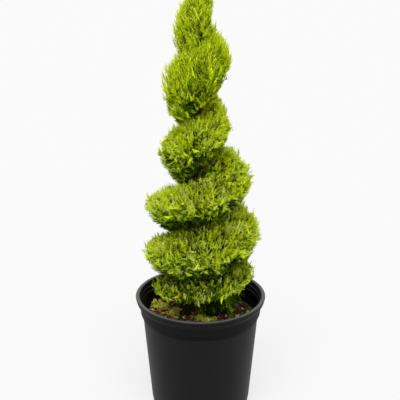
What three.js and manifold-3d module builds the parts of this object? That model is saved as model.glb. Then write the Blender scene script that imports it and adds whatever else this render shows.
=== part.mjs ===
// A clipped spiral topiary: one conifer with a straight trunk, whose crown is cut into a
// single band that climbs round the trunk in over six turns, in a round plastic nursery pot.
// Millimetres, +Z up. The origin is the middle of the pot's underside; -Y is the viewer's side.
import * as THREE from "three";
import { mergeVertices } from "three/addons/utils/BufferGeometryUtils.js";
import Module from "manifold-3d";

const wasm = await Module();
wasm.setup();

// The pot: a rolled lip, the collar under it that nests in the next pot, a tapering body and foot
const potHeight = 262;
const lipRadius = 142.5;
const lipHeight = 17;
const lipWidth = 9.5;
const lipSlant = 3; // the lip is narrower at its lower edge
const lipRound = 4;
const collarRadius = 132;
const collarFoot = 40; // below the pot's top
const bodyTop = 48; // below the pot's top
const bodyTopRadius = 126.5;
const footRadius = 106.5;
const footRing = 16; // width of the ring that the pot stands on
const footRound = 2;
const footRecess = 5;
const potWall = 2.2;
const drainHoles = 8;
const drainRadius = 6;
const drainCircle = 70;
const drainSides = 10;
const potSides = 48;

// The soil fills the pot to below the collar
const soilLevel = 213;
const soilDip = 3; // the soil is lower at the wall than round the trunk
const soilGap = 0.6; // between the soil and the pot's faceted wall
const clearance = 0.3; // between other separate solids that touch

// The trunk: a straight leader with a slight double bend
const trunkTop = 974;
const trunkBaseRadius = 9.5;
const trunkTopRadius = 1.6;
const rootFlare = 7;
const rootFlareHeight = 11;
const trunkSway = 2; // sideways, and half of it forwards and back
const swayLength = 300;
const swayMiddle = 615;
const trunkSides = 10;
const trunkRings = 24;
const ringCrowding = 1.6; // the rings lie closer together towards the flare

// The band of foliage, at stations half a turn apart. The first is one and a half turns before
// the band first passes the left-hand side. top is the height of the groove above the band,
// which is the underside of the band one turn on; reach is from the trunk to the tips; groove
// is half the width that the groove keeps at the trunk; lift is how far the section's widest
// part lies above its middle; under is the exponent of its rounded underside (1 is an ellipse)
const bandStations = [
  { top: 216, reach: 40, groove: 3, lift: 0.18, under: 1 },
  { top: 256, reach: 49, groove: 3, lift: 0.18, under: 1 },
  { top: 281, reach: 74, groove: 3, lift: 0.18, under: 1 },
  { top: 302, reach: 101, groove: 3, lift: 0.26, under: 1.05 },
  { top: 347, reach: 115, groove: 4, lift: 0.18, under: 1.4 },
  { top: 415, reach: 121, groove: 5, lift: 0.19, under: 1.15 },
  { top: 473, reach: 125, groove: 5, lift: 0.15, under: 1 },
  { top: 515, reach: 114, groove: 5, lift: 0.27, under: 0.9 },
  { top: 585, reach: 109, groove: 13, lift: 0.28, under: 1 },
  { top: 657, reach: 84, groove: 5, lift: 0.22, under: 1.15 },
  { top: 705, reach: 62, groove: 18, lift: 0.06, under: 1.5 },
  { top: 809, reach: 75, groove: 6, lift: 0.18, under: 0.8 },
  { top: 845, reach: 63, groove: 21, lift: 0.32, under: 1.55 },
  { top: 924, reach: 54, groove: 5, lift: 0.02, under: 0.6 },
  { top: 960, reach: 27, groove: 8, lift: 0.2, under: 1.1 },
  { top: 982, reach: 30, groove: 9, lift: 0.18, under: 1 },
  { top: 1005, reach: 18, groove: 9, lift: 0.18, under: 1 },
];
const firstStationTurn = -1.5;
const bandStart = -0.6; // in turns
const bandEnd = 6;
const bandTaper = 0.16; // turns over which the band swells from either end
const bandTaperFrom = 0.45; // share of its reach at the ends
const massCount = 20;
const overRoundness = 1.35; // exponent of the section's rounded upper side
const sectionHeight = 1.17; // of the section, before it is cut off at the grooves
const frontGroove = 7; // added to a groove where it faces the front
const frontSharpness = 3; // how soon that fades towards the sides
const tipTop = 1035;
const tipRadius = 17;
const tipSprays = 18;
const tipSprayWidth = 10;
const tipRoots = [0.07, 0.42]; // heights of the sprays' roots, as shares of the tuft's height
const tipEnds = [0.3, 1]; // and of their tips
const tipUnevenness = [0.85, 1.15];

// Each mass: a core, the stem that carries it, and the sprays that stand out of it
const coreFill = 0.96; // share of the band's height
const coreReach = 0.91; // share of the band's reach
const coreGap = 3; // between the core and the bark
const coreSteps = 5;
const coreOutline = [0.12, 0.88]; // the stretch of the section's outline that a core follows
const coreOutlinePoints = 8;
const seamGap = 0.4; // between two masses that follow each other along the band
const stemLength = 22;
const stemReach = 0.6; // the most of the band's reach that a stem takes up
const stemFootRadius = 3.2;
const stemTipRadius = 2;
const stemSides = 8;
const spraySpacing = 41;
const sprayBelt = 0.72; // how far out, as a share of the reach, the spacing is kept
const beltRooms = 3; // the section's rounded outline is about as long as three of its half
const beltReaches = 1.2; // heights and this many of its reach
const sprayRoot = 0.72; // how far out, as a share of the core's section, a spray is rooted
const sprayReach = 1.05; // how far out its tip is, as a share of the band's reach
const sprayRise = 0.2; // how far a spray's tip is turned upwards round the section
const sprayJitter = 0.3;
const sprayDrift = 0.4; // how far along the band a tip may stray, as a share of the jitter
const sprayRoll = 0.6; // radians, either way from facing outwards
const sprayWidth = [0.6, 0.85]; // of the spacing, least and most
const sprayThickness = 0.09; // of its length
const sprayMargin = 2.5; // between a spray and the middle of a groove
const sprayEdge = 0.97; // the nearest that a spray's tip is aimed to a groove, of its room
const sprayTries = 4;
const leastColumns = 3;
const leastRows = 4;
const goldenAngle = Math.PI * (3 - Math.sqrt(5));
const seed = 2711;

const { clamp, lerp } = THREE.MathUtils;

// A repeatable random number from 0 to 1, from a running integer state
function randomFrom(start) {
  let state = start >>> 0;
  return () => {
    state = (state + 0x6d2b79f5) >>> 0;
    let mixed = Math.imul(state ^ (state >>> 15), 1 | state);
    mixed = (mixed + Math.imul(mixed ^ (mixed >>> 7), 61 | mixed)) ^ mixed;
    return ((mixed ^ (mixed >>> 14)) >>> 0) / 4294967296;
  };
}

// A smooth value between the band's stations, by a Catmull-Rom curve
function alongBand(turn, key) {
  const place = (turn - firstStationTurn) * 2;
  const last = bandStations.length - 1;
  const index = clamp(Math.floor(place), 0, last - 1);
  const share = place - index;
  const value = (i) => bandStations[clamp(i, 0, last)][key];
  const [a, b, c, d] = [-1, 0, 1, 2].map((step) => value(index + step));
  return (
    b +
    0.5 *
      share *
      (c - a + share * (2 * a - 5 * b + 4 * c - d + share * (3 * (b - c) + d - a)))
  );
}

const bearing = (turn) => Math.PI * (1 + 2 * turn); // anticlockwise from +X
const bandTop = (turn) => alongBand(turn, "top");
const bandMiddle = (turn) => (bandTop(turn) + bandTop(turn - 1)) / 2;
const bandRoom = (turn) => (bandTop(turn) - bandTop(turn - 1)) / 2;

// The reach of the foliage from the trunk, which swells from the rounded ends of the band
function bandReach(turn) {
  const fromEnd = Math.min(turn - bandStart, bandEnd - turn) / bandTaper;
  const swell = Math.sin((Math.PI / 2) * clamp(fromEnd, 0, 1));
  return alongBand(turn, "reach") * (bandTaperFrom + (1 - bandTaperFrom) * swell);
}

// Half the width of the groove above the band at the trunk, widest towards the front
function grooveRoom(turn) {
  const facing = Math.max(-Math.sin(bearing(turn)), 0) ** frontSharpness;
  return alongBand(turn, "groove") + frontGroove * facing;
}

// A height in the band's section (-1 to 1), kept to what the grooves under and over it leave
function betweenGrooves(turn, up) {
  const room = bandRoom(turn);
  return clamp(up, grooveRoom(turn - 1) / room - 1, 1 - grooveRoom(turn) / room);
}

function trunkRadius(height) {
  const climb = (height - soilLevel) / (trunkTop - soilLevel);
  const taper = trunkBaseRadius + (trunkTopRadius - trunkBaseRadius) * climb;
  return taper + rootFlare * Math.exp(-(height - soilLevel) / rootFlareHeight);
}

function trunkMiddle(height) {
  const climb = clamp((height - soilLevel) / (trunkTop - soilLevel), 0, 1);
  const hold = Math.sin(Math.PI * climb); // the bends fade out towards both ends
  const phase = (2 * Math.PI * (height - swayMiddle)) / swayLength;
  const sway = trunkSway * hold;
  return new THREE.Vector2(sway * Math.sin(phase), (sway / 2) * Math.cos(phase));
}

// A point of the band: how many turns along, how far out from the bark to the band's full
// reach (0 to 1), and how far up from the groove below to the one above (-1 to 1)
function bandPoint(turn, out, up) {
  const lift = alongBand(turn, "lift");
  const height = bandMiddle(turn) + bandRoom(turn) * (up + lift * (1 - up * up));
  const inner = trunkRadius(height) + coreGap;
  const radius = inner + out * (bandReach(turn) - inner);
  const middle = trunkMiddle(height);
  return new THREE.Vector3(
    middle.x + radius * Math.cos(bearing(turn)),
    middle.y + radius * Math.sin(bearing(turn)),
    height,
  );
}

// The rounded outline of the band's section, from its lower edge (0) out and round to its
// upper (1): how far out, and how far up before it is cut off at the grooves
function sectionPoint(turn, share) {
  const angle = Math.PI * (share - 0.5);
  const roundness = angle < 0 ? alongBand(turn, "under") : overRoundness;
  const soften = (value) => Math.sign(value) * Math.abs(value) ** roundness;
  return new THREE.Vector2(soften(Math.cos(angle)), sectionHeight * soften(Math.sin(angle)));
}

// A closed three.js geometry as a solid, and back
function solidOf(geometry) {
  const bare = geometry.clone();
  bare.deleteAttribute("normal");
  bare.deleteAttribute("uv");
  const merged = mergeVertices(bare, 1e-4);
  return new wasm.Manifold(
    new wasm.Mesh({
      numProp: 3,
      vertProperties: new Float32Array(merged.attributes.position.array),
      triVerts: new Uint32Array(merged.index.array),
    }),
  );
}

function geometryOf(solid) {
  const mesh = solid.getMesh();
  return new THREE.BufferGeometry()
    .setAttribute("position", new THREE.BufferAttribute(mesh.vertProperties, mesh.numProp))
    .setIndex(new THREE.BufferAttribute(mesh.triVerts, 1));
}

// Moves each vertex of a straight geometry to where place(x, y, z) puts it
function reshape(geometry, place) {
  const position = geometry.attributes.position;
  for (let i = 0; i < position.count; i += 1) {
    const moved = place(position.getX(i), position.getY(i), position.getZ(i));
    position.setXYZ(i, moved.x, moved.y, moved.z);
  }
  return geometry;
}

const lathe = (outline, sides) =>
  new THREE.LatheGeometry(
    outline.map(([radius, height]) => new THREE.Vector2(radius, height)),
    sides,
  ).rotateX(Math.PI / 2);

// The inside of the pot's tapering body at a height
function potInside(height) {
  const climb = height / (potHeight - bodyTop);
  return footRadius + (bodyTopRadius - footRadius) * climb - potWall;
}

function potGeometry() {
  const top = potHeight;
  const floorTop = footRecess + potWall;
  const outside = [
    [0, footRecess],
    [footRadius - footRing, footRecess],
    [footRadius - footRing + footRecess, 0],
    [footRadius - footRound / 2, 0],
    [footRadius, footRound],
    [bodyTopRadius, top - bodyTop],
    [collarRadius, top - collarFoot],
    [collarRadius, top - lipHeight - lipRound],
    [lipRadius - lipSlant - lipRound, top - lipHeight],
    [lipRadius - lipSlant, top - lipHeight + lipRound],
    [lipRadius, top - lipRound / 2],
    [lipRadius - lipRound, top],
  ];
  const inside = [
    [lipRadius - lipWidth, top],
    [lipRadius - lipWidth - potWall, top - lipRound],
    [collarRadius - potWall, top - lipHeight],
    [collarRadius - potWall, top - collarFoot],
    [potInside(top - bodyTop), top - bodyTop],
    [potInside(floorTop), floorTop],
    [0, floorTop],
  ];
  const holes = [];
  for (let i = 0; i < drainHoles; i += 1) {
    const angle = (2 * Math.PI * i) / drainHoles;
    const drill = new THREE.CylinderGeometry(drainRadius, drainRadius, 4 * floorTop, drainSides)
      .rotateX(Math.PI / 2)
      .translate(drainCircle * Math.cos(angle), drainCircle * Math.sin(angle), 0);
    holes.push(solidOf(drill));
  }
  const shell = solidOf(lathe([...outside, ...inside], potSides));
  return geometryOf(shell.subtract(wasm.Manifold.union(holes)));
}

function soilGeometry() {
  const floor = footRecess + potWall + clearance;
  const edge = soilLevel - soilDip;
  const outline = [
    [0, floor],
    [potInside(floor) - soilGap, floor],
    [potInside(edge) - soilGap, edge],
    [potInside(edge) / 2, soilLevel],
    [0, soilLevel],
  ];
  return geometryOf(solidOf(lathe(outline, potSides)));
}

function trunkGeometry() {
  const foot = soilLevel + clearance;
  const blank = new THREE.CylinderGeometry(1, 1, 1, trunkSides, trunkRings).rotateX(Math.PI / 2);
  const place = (x, y, z) => {
    const share = (z + 0.5) ** ringCrowding;
    const height = foot + share * (trunkTop - foot);
    const radius = trunkRadius(height);
    const middle = trunkMiddle(height);
    return new THREE.Vector3(middle.x + x * radius, middle.y + y * radius, height);
  };
  return geometryOf(solidOf(reshape(blank, place)));
}

// The dense middle of one stretch of the band: its section, swept round the trunk
function massCore(from, to) {
  const outline = new THREE.Shape().moveTo(0, -1);
  for (let i = 0; i < coreOutlinePoints; i += 1) {
    const angle = Math.PI * (lerp(...coreOutline, i / (coreOutlinePoints - 1)) - 0.5);
    outline.lineTo(Math.cos(angle), Math.sin(angle));
  }
  outline.lineTo(0, 1);
  outline.closePath();
  const blank = new THREE.ExtrudeGeometry(outline, { depth: 1, steps: coreSteps, bevelEnabled: false });
  const upwards = new THREE.Vector3(0, 0, 1);
  const place = (x, y, share) => {
    const turn = to - share * (to - from);
    const edge = sectionPoint(turn, Math.atan2(y, x) / Math.PI + 0.5);
    const up = clamp(edge.y * coreFill, -1, 1);
    const point = bandPoint(turn, edge.x * coreReach, betweenGrooves(turn, up));
    const inset = ((share - 0.5) * seamGap) / Math.hypot(point.x, point.y);
    return point.applyAxisAngle(upwards, inset);
  };
  return solidOf(reshape(blank, place));
}

// The short woody stem that carries a mass: it starts just clear of the bark
function massStem(turn) {
  const height = bandMiddle(turn);
  const middle = trunkMiddle(height);
  const length = Math.min(stemLength, stemReach * bandReach(turn));
  const blank = new THREE.CylinderGeometry(stemTipRadius, stemFootRadius, length, stemSides)
    .translate(0, length / 2 + trunkRadius(height) + clearance, 0)
    .rotateZ(bearing(turn) - Math.PI / 2)
    .translate(middle.x, middle.y, height);
  return solidOf(blank);
}

// One spray of needles, from its root to its tip: a toothed fan, thickest in the middle
function spraySolid(root, tip, width, roll) {
  const outline = [
    [0, 0],
    [0.5, 0.7],
    [0.24, 0.7],
    [0.08, 1],
    [-0.16, 0.66],
    [-0.48, 0.84],
  ];
  const length = root.distanceTo(tip);
  const along = tip.clone().sub(root).divideScalar(length);
  const across = new THREE.Vector3(-root.y, root.x, 0).cross(along).cross(along).normalize();
  across.applyAxisAngle(along, roll);
  const face = new THREE.Vector3().crossVectors(across, along);
  const at = (x, y, z) =>
    root
      .clone()
      .addScaledVector(across, x * width)
      .addScaledVector(along, y * length)
      .addScaledVector(face, z * length * sprayThickness);
  const points = [...outline.map(([x, y]) => at(x, y, 0)), at(0, 0.55, 0.5), at(0, 0.55, -0.5)];
  const [front, back] = [outline.length, outline.length + 1];
  const faces = [];
  outline.forEach((_, i) => {
    const next = (i + 1) % outline.length;
    faces.push(i, next, front, next, i, back);
  });
  return { points, geometry: new THREE.BufferGeometry().setFromPoints(points).setIndex(faces) };
}

// Whether a point keeps to the room of one mass: its own stretch, between the two grooves,
// off the trunk and the soil, and below the tuft at the tip
function inRoom(point, from, to) {
  const middle = trunkMiddle(point.z);
  const x = point.x - middle.x;
  const y = point.y - middle.y;
  const radius = Math.hypot(x, y);
  const nearest = (from + to) / 2;
  let turn = (Math.atan2(y, x) / Math.PI - 1) / 2;
  turn += Math.round(nearest - turn);
  const margin = clearance / (Math.PI * Math.max(radius, 1));
  if (turn < from + margin || turn > to - margin) return false;
  if (point.z > bandTop(turn) - sprayMargin) return false;
  if (point.z < bandTop(turn - 1) + sprayMargin) return false;
  if (point.z < soilLevel + sprayMargin || point.z > trunkTop) return false;
  return radius > trunkRadius(point.z) + clearance;
}

// The sprays of one mass, rooted in its core over an even, jittered grid
function massSprays(from, to, random) {
  const sprays = [];
  const middle = (from + to) / 2;
  const reach = bandReach(middle);
  const length = 2 * Math.PI * sprayBelt * reach * (to - from);
  const girth = beltRooms * bandRoom(middle) + beltReaches * reach;
  const columns = Math.max(leastColumns, Math.round(length / spraySpacing));
  const rows = Math.max(leastRows, Math.round(girth / spraySpacing));
  for (let column = 0; column < columns; column += 1) {
    for (let row = 0; row < rows; row += 1) {
      for (let attempt = 0; attempt < sprayTries; attempt += 1) {
        const jitter = () => (random() - 0.5) * 2 * sprayJitter;
        const turn = from + ((column + 0.5 + jitter()) / columns) * (to - from);
        const share = (row + 0.5 + jitter()) / rows;
        const endShare = Math.min(share + sprayRise * Math.sin(Math.PI * share), sprayEdge);
        const foot = sectionPoint(turn, share);
        const rootUp = sprayRoot * betweenGrooves(turn, foot.y);
        const root = bandPoint(turn, sprayRoot * coreReach * foot.x, rootUp);
        const tipTurn = turn + (sprayDrift * jitter() * (to - from)) / columns;
        const end = sectionPoint(tipTurn, endShare);
        const tipUp = sprayEdge * betweenGrooves(tipTurn, end.y);
        const tip = bandPoint(tipTurn, sprayReach * end.x, tipUp);
        const width = lerp(...sprayWidth, random()) * spraySpacing;
        const spray = spraySolid(root, tip, width, (2 * random() - 1) * sprayRoll);
        const outer = spray.points.slice(1);
        if (!outer.every((point) => inRoom(point, from, to))) continue;
        sprays.push(solidOf(spray.geometry));
        break;
      }
    }
  }
  return sprays;
}

function massGeometry(index) {
  const length = (bandEnd - bandStart) / massCount;
  const from = bandStart + index * length;
  const to = from + length;
  const sprays = massSprays(from, to, randomFrom(seed + index));
  const pieces = [massCore(from, to), massStem((from + to) / 2), ...sprays];
  return geometryOf(wasm.Manifold.union(pieces));
}

// The tuft that ends the leader: a slim core with sprays that rise round it
function tipGeometry() {
  const foot = trunkTop + clearance;
  const height = tipTop - foot;
  const random = randomFrom(seed + massCount);
  const outline = [[0, 0], [0.2, 0], [0.6, 0.2], [0.55, 0.4], [0.2, 0.75], [0, 0.85]];
  const core = lathe(outline.map(([out, up]) => [out * tipRadius, foot + up * height]), stemSides);
  const pieces = [solidOf(core)];
  for (let i = 0; i < tipSprays; i += 1) {
    const share = i / (tipSprays - 1);
    const out = new THREE.Vector3(1, 0, 0).applyAxisAngle(new THREE.Vector3(0, 0, 1), i * goldenAngle);
    const root = out.clone().setZ(foot + height * lerp(...tipRoots, share));
    const spread = tipRadius * (1 - share) * lerp(...tipUnevenness, random());
    const tip = out.multiplyScalar(spread).setZ(foot + height * lerp(...tipEnds, share));
    const roll = (2 * random() - 1) * sprayRoll;
    pieces.push(solidOf(spraySolid(root, tip, tipSprayWidth, roll).geometry));
  }
  return geometryOf(wasm.Manifold.union(pieces));
}

const plastic = new THREE.MeshStandardMaterial({ color: 0x242424, roughness: 0.5, metalness: 0 });
const soil = new THREE.MeshStandardMaterial({ color: 0x35251b, roughness: 1, metalness: 0 });
const bark = new THREE.MeshStandardMaterial({ color: 0x5e4432, roughness: 0.95, metalness: 0 });
const foliage = new THREE.MeshStandardMaterial({ color: 0x8ca61e, roughness: 0.7, metalness: 0 });

function named(name, geometry, material) {
  const mesh = new THREE.Mesh(geometry, material);
  mesh.name = name;
  return mesh;
}

const topiary = new THREE.Group();
topiary.add(named("pot", potGeometry(), plastic));
topiary.add(named("soil", soilGeometry(), soil));
topiary.add(named("trunk", trunkGeometry(), bark));
for (let i = 0; i < massCount; i += 1) {
  topiary.add(named(`foliage_${String(i + 1).padStart(2, "0")}`, massGeometry(i), foliage));
}
topiary.add(named("foliage_tip", tipGeometry(), foliage));

export default topiary;
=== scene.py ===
import math
from types import SimpleNamespace

import bpy
import numpy as np
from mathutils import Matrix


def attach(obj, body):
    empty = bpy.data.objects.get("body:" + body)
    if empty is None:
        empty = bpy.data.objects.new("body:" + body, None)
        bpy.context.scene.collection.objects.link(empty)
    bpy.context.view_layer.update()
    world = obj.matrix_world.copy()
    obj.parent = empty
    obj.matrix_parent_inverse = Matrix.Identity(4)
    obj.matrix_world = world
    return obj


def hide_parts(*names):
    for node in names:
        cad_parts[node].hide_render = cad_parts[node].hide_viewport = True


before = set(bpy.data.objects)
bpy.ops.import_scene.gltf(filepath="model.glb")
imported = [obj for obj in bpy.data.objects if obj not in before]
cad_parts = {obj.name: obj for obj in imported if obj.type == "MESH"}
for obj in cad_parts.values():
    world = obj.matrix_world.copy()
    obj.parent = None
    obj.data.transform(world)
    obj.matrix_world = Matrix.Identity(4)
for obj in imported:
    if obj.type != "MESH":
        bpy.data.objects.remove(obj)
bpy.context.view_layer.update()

MM = 0.001
# The masses' seeds count up from the first
SEED = 41
TRUNK_SEED = SEED + 100
SOIL_SEED = SEED + 200
SKIRT_SEED = SEED + 300
INSIDE_SEED = SEED + 400
# The range of a random wave's phase
PHASES = (0, 6)

# The pot and the soil, as in the solids
POT_HEIGHT = 262 * MM
LIP_RADIUS = 142.5 * MM
LIP_HEIGHT = 17 * MM
LIP_WIDTH = 9.5 * MM
LIP_SLANT = 3 * MM
COLLAR_RADIUS = 132 * MM
COLLAR_FOOT = 40 * MM
BODY_TOP = 48 * MM
BODY_TOP_RADIUS = 126.5 * MM
FOOT_RADIUS = 106.5 * MM
FOOT_RING = 16 * MM
FOOT_RECESS = 5 * MM
POT_WALL = 2.2 * MM
SOIL_LEVEL = 213 * MM
SOIL_DIP = 3 * MM

# The pot's finer forms: its foot's bevel and step, its lip's turn and edge, and two ribs inside
POT_SIDES = 160
POT_ROUNDING = 4.5 * MM
ROUNDED_SHARE = 0.45
ROUNDING_STEPS = 4
AXIS_GAP = 1 * MM
FOOT_BEVEL = 1 * MM
FOOT_BEVEL_HEIGHT = 2 * MM
FOOT_STEP = [(1.4 * MM, 15 * MM), (2.4 * MM, 17 * MM)]
LIP_TURN = 4 * MM
LIP_EDGE = 1.5 * MM
RIB_DEPTHS = (10 * MM, 22 * MM)
RIB_HEIGHT = 2 * MM
RIB_WIDTH = 1.6 * MM
# Where the pot's rim, lip and bend have their own shine and colour: a painted highlight on the
# rim, a painted sheen on the lip and painted shade on the bend
RIM_HEIGHT = 0.5 * MM
RIM_WIDTH = 7.5 * MM
LIP_FACE = 6 * MM
BEND_MARGIN = 2 * MM
BEND_INSET = 1 * MM

# The compost's surface and sides
SOIL_SIDES = 200
SOIL_RINGS = 70
SOIL_FIRST_RING = 0.002
SOIL_CENTRE = 0.01
SOIL_SUNK = 1.5 * MM
SOIL_WALL_GAP = 0.4 * MM
SOIL_FLOOR_GAP = 0.6 * MM
SOIL_FLOOR_RISE = 0.4 * MM
# Lumps: how many waves, their size and their depth
SOIL_LUMPS = [(10, 22 * MM, 0.8 * MM), (14, 6 * MM, 0.7 * MM)]
LUMP_SIZES = (0.6, 1.6)

# Chips of bark on the compost: lengths in millimetres, and other measures as shares of them
CHIPS = 1500
CHIP_LENGTHS = (2.5, 8.0)
CHIP_WIDTHS = (0.35, 0.8)
CHIP_THICKNESSES = (0.15, 0.35)
CHIP_CORNERS = (0.6, 1.0)
CHIP_TILT = 0.35
CHIP_RISE = 0.7 * MM
CHIP_WALL_GAP = 5 * MM
CHIP_TRUNK_GAP = 20 * MM
CHIP_SHARES = [0.24, 0.32, 0.32, 0.12]
# Chips further back and to the right lie in the crown's shade
SHADE_FROM_X = -48 * MM
SHADE_FROM_Y = -6 * MM
SHADE_DEPTH = 14 * MM

# Fallen sprigs in heaps (x, y, width and height) and loose ones, in millimetres, and the
# ranges of half a sprig's length, of its height over the soil and of its rise
SPRIG_HEAPS = [
    (-99, 42, 14, 10),
    (-84, 31, 12, 9),
    (-108, 52, 8, 8),
    (-62, -3, 11, 11),
    (-55, 5, 8, 8),
    (-2, -22, 10, 5),
    (10, -28, 7, 4),
    (27, -28, 8, 3),
]
HEAP_SPRIGS = 1.5
HEAP_SCATTER = 0.42
HEAP_SPRIG_RANGES = ((7, 13), (0.1, 1), (-1, 8))
LOOSE_SPRIGS = 60
LOOSE_SPRIG_RANGES = ((4, 8), (1, 3), (-1, 2))
LOOSE_WALL_GAP = 12
SPRIG_WALL_GAP = 3
SPRIG_STOUTNESS = 2.3

# The trunk, as in the solids
TRUNK_TOP = 974 * MM
TRUNK_BASE_RADIUS = 9.5 * MM
TRUNK_TOP_RADIUS = 1.6 * MM
ROOT_FLARE = 7 * MM
ROOT_FLARE_HEIGHT = 11 * MM
TRUNK_SWAY = 2 * MM
SWAY_LENGTH = 300 * MM
SWAY_MIDDLE = 615 * MM

# The bark's relief: broad ridges and finer ones over them, each with the number of its waves
# and its depth as a share of the trunk's radius
TRUNK_SIDES = 48
TRUNK_RINGS = 320
RING_CROWDING = 1.2
TRUNK_FOOT_GAP = 0.3 * MM
BARK_LEVEL = 0.97
RIDGES = (9, 0.22)
FINE_RIDGES = (5, 0.08)
FINE_ROUND = 3
FINE_ALONG = 2.5
RIDGE_LOBES = (3, 15)
RIDGE_WANDERS = (15, 70)
RIDGE_DRIFTS = (1, 5)

# The band of foliage, as in the solids: stations half a turn apart, with the height of the
# groove above the band, the reach from the trunk to the tips, half the groove's width, how far
# the section's widest part lies above its middle, and the exponent of its rounded underside
BAND_TOPS = np.array(
    [216, 256, 281, 302, 347, 415, 473, 515, 585, 657, 705, 809, 845, 924, 960, 982, 1005]
) * MM
BAND_REACHES = np.array(
    [40, 49, 74, 101, 115, 121, 125, 114, 109, 84, 62, 75, 63, 54, 27, 30, 18]
) * MM
BAND_GROOVES = np.array([3, 3, 3, 3, 4, 5, 5, 5, 13, 5, 18, 6, 21, 5, 8, 9, 9]) * MM
BAND_LIFTS = np.array([18, 18, 18, 26, 18, 19, 15, 27, 28, 22, 6, 18, 32, 2, 20, 18, 18]) / 100
BAND_UNDERS = np.array([1, 1, 1, 1.05, 1.4, 1.15, 1, 0.9, 1, 1.15, 1.5, 0.8, 1.55, 0.6, 1.1, 1, 1])
FIRST_STATION_TURN = -1.5
BAND_START = -0.6
BAND_END = 6.0
BAND_TAPER = 0.16
BAND_TAPER_FROM = 0.45
MASS_COUNT = 20
OVER_ROUNDNESS = 1.35
SECTION_HEIGHT = 1.17
SECTION_MARGIN = 0.005
FRONT_GROOVE = 7 * MM
FRONT_SHARPNESS = 3
CORE_GAP = 3 * MM
TIP_TOP = 1035 * MM
TIP_RADIUS = 17 * MM

# Sprays of needles: a bowed spine with fingers on both sides, the first with two twiglets.
# Lengths are shares of the spray's or the finger's, and pairs are the range of a random share
WIDEST = 0.45
SPINE_WIDTH = 1.7 * MM
SPRAY_BEND = 0.20
SPRAY_SAG = 0.06
FINGERS = 8
FINGER_FROM = 0.10
FINGER_TO = 0.90
FINGER_SHIFT = 0.05
FINGER_LAST = 0.95
FINGER_STRAY = 0.5
FINGER_ANGLE = 0.64
FINGER_ANGLES = (0.6, 1.2)
FINGER_CLOSING = 0.35
FINGER_LENGTH = 0.34
FINGER_LENGTHS = (0.7, 1.2)
FINGER_SHORTENING = 0.62
FINGER_BOW = 0.16
FINGER_WIDTH = 1.4 * MM
FINGER_WIDTHS = (0.8, 1.25)
FINGER_TONE_STRAYS = (-0.4, 0.9)
SLENDER_FINGERS = 0.35
FORKED_FINGERS = 1
FORK_PLACES = (0.3, 0.5)
TWIGLET_ANGLE = 0.7
TWIGLET_LENGTH = 0.5
TWIGLET_WIDTH = 0.85
TWIGLET_BOW = 0.3

# Tufts on a mass: rows round the band and columns along it, a spacing apart
TUFT_SPACING = 13 * MM
LEAST_ROWS = 6
LEAST_COLUMNS = 4
GIRTH_OF_ROOM = 3
GIRTH_OF_REACH = 1.2
COLUMN_CIRCLE = 0.72
COLUMN_STRAY = 0.3
ROW_STRAY = 0.35
ROW_MARGIN = 0.01
TUFT_SPRAYS = 8
UNDER_SPRAYS = 3
TUFT_ROOT = 0.62
TUFT_SWELL = 0.07
TUFT_STRAY = 0.32
TUFT_MOOD = 0.20
# How far a tuft's sprays scatter, in spacings, and where they count as its edge, which lies deeper
# and carries painted shade
TUFT_SPREAD = 0.425
TUFT_EDGE = 1.5
TUFT_EDGE_DEPTH = 0.04
TUFT_EDGE_SHADE = 0.30

# The depths at which sprays end, where 1 is the band's surface
TIP_DEPTH = 0.955
TIP_SWELL = 0.035
UNDER_DEPTH = (0.80, 0.94)
WISP_SHARE = 0.10
WISP_DEPTH = (1.01, 1.09)
SHEET_FILL = 0.98
SHEET_ROOM = 0.04
SHEET_LIMIT = 1.02
OVERHANG = 4 * MM
NORMAL_STEP = 0.01

SPRAY_LENGTH = (17 * MM, 27 * MM)
LONGEST_OF_REACH = 0.75
SPRAY_LIFT = (0.1, 1.1)
SPRAY_STRAY = 0.22
LEAST_STEEPNESS = 0.28
LEVEL_BENEATH = 0.9
FLAME_SHARE = 0.26
FLAME_SLOPE = 1.5
FLAME_HEIGHT = (2 * MM, 11 * MM)
FLAME_LIFT = 1.2

# High on the band sprays are longer and more upright, and hang further over the grooves; they
# carry a little painted shade
HIGH_HEIGHTS = (0.62, 0.80)
HIGH_LIFT = 1.5
HIGH_LENGTH = 0.55
HIGH_SHORTENING = 0.6
HIGH_FLAME = 0.5
HIGH_WISP = 0.015
HIGH_DRAW = 0.06
HIGH_MOOD = 0.45
HIGH_SHADE = 0.15
OVERHANG_HEIGHTS = (0.76, 0.84)
HIGH_OVERHANG = 9 * MM
# The topmost turns are drawn in and painted a little lighter
TOP_HEIGHTS = (0.83, 0.89)
TOP_DRAW = 0.07
TOP_LIGHT = 0.15

# How light a spray's colour is painted: by its slope, height and depth, as painted light and
# shade, and by chance
LIGHT_BASE = 0.76
LIGHT_UP = 0.34
LIGHT_HEIGHT = 0.9
LIGHT_HEIGHT_FROM = 0.45
LIGHT_DEPTH = 2.0
SPRAY_MOOD = 0.26
WISP_LIGHT = 0.25
# Painted shade underneath, less so where the band stands in the open air
OPEN_AIR_HEIGHTS = (0.42, 0.82)
LIGHT_LOW = 0.86
LIGHT_LOW_FRONT = 0.45
LIGHT_LOW_FROM = -0.25
# Painted shade in the grooves, at the right and in the middle of the viewer's side
GROOVE_SHADE = 0.60
GROOVE_SHADE_ABOVE = 0.05
GROOVE_AIRING = 0.6
SHELTERED_TOP = 0.46
SHELTERED_DEPTH = 0.06
SHELTERED_SHADE = 0.85
RIGHT_WIDTH = 50 * MM
MIDDLE_SHADE = 0.75
MIDDLE_SHADE_X = -12 * MM
MIDDLE_SHADE_WIDTH = 24 * MM
MIDDLE_SHADE_UP = 0.15
# Painted shade at the foot of the band
FOOT_SHADE = 0.55
FOOT_SHADE_TOP = 0.312
FOOT_SHADE_DEPTH = 0.025
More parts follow.
